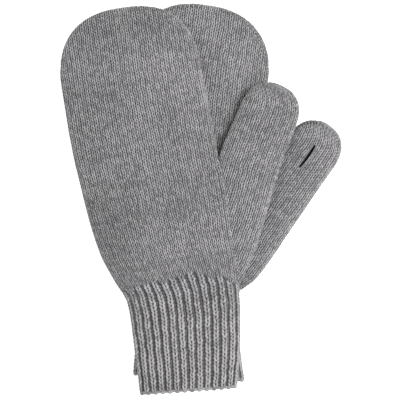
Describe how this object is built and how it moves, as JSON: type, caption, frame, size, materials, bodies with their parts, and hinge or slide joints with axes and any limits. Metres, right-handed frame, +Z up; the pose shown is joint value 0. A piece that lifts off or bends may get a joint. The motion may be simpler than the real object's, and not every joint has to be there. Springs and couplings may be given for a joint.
{
  "type": "knitted mittens",
  "caption": "Pair of plain-knit mittens lying one across the other, with long ribbed cuffs, open hand and thumb bags and a bound slit in the palm side of the thumb.",
  "frame": {"origin": "centre of the pair's bounding box at the surface it lies on", "axes": "+Z up from the surface, +Y from the cuffs to the fingertips, +X towards the thumbs"},
  "size_m": [0.2116, 0.2932, 0.0283],
  "materials": {
    "wool_plain_knit": "matte stockinette knit in mottled mid grey wool",
    "wool_rib_knit": "matte one-by-one rib knit in mottled mid grey wool",
    "wool_seam": "matte closing and binding stitches in darker grey wool"
  },
  "bodies": {
    "right_mitten": {"right_hand": "wool_plain_knit", "right_cuff": "wool_rib_knit", "right_cuff_edge": "wool_rib_knit", "right_thumb_gusset": "wool_plain_knit", "right_thumb_root": "wool_plain_knit", "right_hand_tip_seam": "wool_seam"},
    "right_thumb_tube": {"right_thumb": "wool_plain_knit", "right_slit_edge": "wool_seam", "right_thumb_tip_seam": "wool_seam"},
    "left_mitten": {"left_hand": "wool_plain_knit", "left_cuff": "wool_rib_knit", "left_cuff_edge": "wool_rib_knit", "left_thumb_gusset": "wool_plain_knit", "left_thumb_root": "wool_plain_knit", "left_hand_tip_seam": "wool_seam"},
    "left_thumb_tube": {"left_thumb": "wool_plain_knit", "left_slit_edge": "wool_seam", "left_thumb_tip_seam": "wool_seam"}
  },
  "joints": [
    {"name": "right_thumb_swing", "type": "hinge", "parent": "right_mitten", "child": "right_thumb_tube", "pos_m": [0.06602, 0.01309, 0.0067], "axis": [0, 0, 1], "range_deg": [-20, 15], "deforming": ["right_thumb_root"]},
    {"name": "left_thumb_swing", "type": "hinge", "parent": "left_mitten", "child": "left_thumb_tube", "pos_m": [0.03732, 0.0322, 0.0211], "axis": [0, 0, 1], "range_deg": [-20, 15], "deforming": ["left_thumb_root"]},
    {"name": "left_mitten_lift", "type": "slide", "parent": "right_mitten", "child": "left_mitten", "axis": [0, 0, 1], "range_m": [0, 0.08]}
  ]
}
